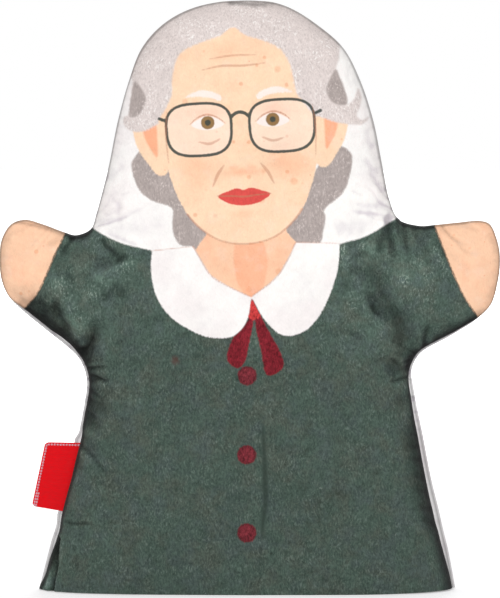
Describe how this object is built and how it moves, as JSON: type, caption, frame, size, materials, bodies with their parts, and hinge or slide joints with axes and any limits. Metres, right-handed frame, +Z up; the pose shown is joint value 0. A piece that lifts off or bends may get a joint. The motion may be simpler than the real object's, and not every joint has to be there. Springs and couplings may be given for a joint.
{
  "type": "hand puppet",
  "caption": "Soft cloth hand puppet with a printed front, plain white back, open skirt mouth, nodding head and two short arms that swing.",
  "frame": {"origin": "middle of the open mouth, on the ground under the hem", "axes": "+Z up from hem to crown, the printed front faces -Y, +X to the viewer's right"},
  "size_m": [0.2523, 0.048, 0.3],
  "materials": {
    "dress_cloth": "short-pile felt-like cloth printed dark green",
    "skin_cloth": "short-pile felt-like cloth printed skin colour",
    "hair_cloth": "short-pile felt-like cloth, white with printed grey hair and face",
    "white_cloth": "short-pile felt-like cloth, white and unprinted",
    "label_ribbon": "woven satin ribbon, red with pink edge stitches"
  },
  "bodies": {
    "torso": {"front_torso": "dress_cloth", "back_torso": "white_cloth", "side_label": "label_ribbon", "front_neck_fold": "hair_cloth", "front_shoulder_fold_left": "dress_cloth", "front_shoulder_fold_right": "dress_cloth", "back_neck_fold": "white_cloth", "back_shoulder_fold_left": "white_cloth", "back_shoulder_fold_right": "white_cloth"},
    "head": {"front_head": "hair_cloth", "back_head": "white_cloth"},
    "arm_left": {"front_arm_left": "skin_cloth", "back_arm_left": "white_cloth"},
    "arm_right": {"front_arm_right": "skin_cloth", "back_arm_right": "white_cloth"}
  },
  "joints": [
    {"name": "head_nod", "type": "hinge", "parent": "torso", "child": "head", "pos_m": [-0.0025, 0, 0.1953], "axis": [1, 0, 0], "range_deg": [-25, 45], "stiffness_Nm_per_rad": 0.03, "deforming": ["front_neck_fold", "back_neck_fold"]},
    {"name": "arm_left_swing", "type": "hinge", "parent": "torso", "child": "arm_left", "pos_m": [-0.0905, 0, 0.15], "axis": [0, 0, 1], "range_deg": [-20, 50], "stiffness_Nm_per_rad": 0.008, "deforming": ["front_shoulder_fold_left", "back_shoulder_fold_left"]},
    {"name": "arm_right_swing", "type": "hinge", "parent": "torso", "child": "arm_right", "pos_m": [0.0883, 0, 0.15], "axis": [0, 0, -1], "range_deg": [-20, 50], "stiffness_Nm_per_rad": 0.008, "deforming": ["front_shoulder_fold_right", "back_shoulder_fold_right"]}
  ]
}
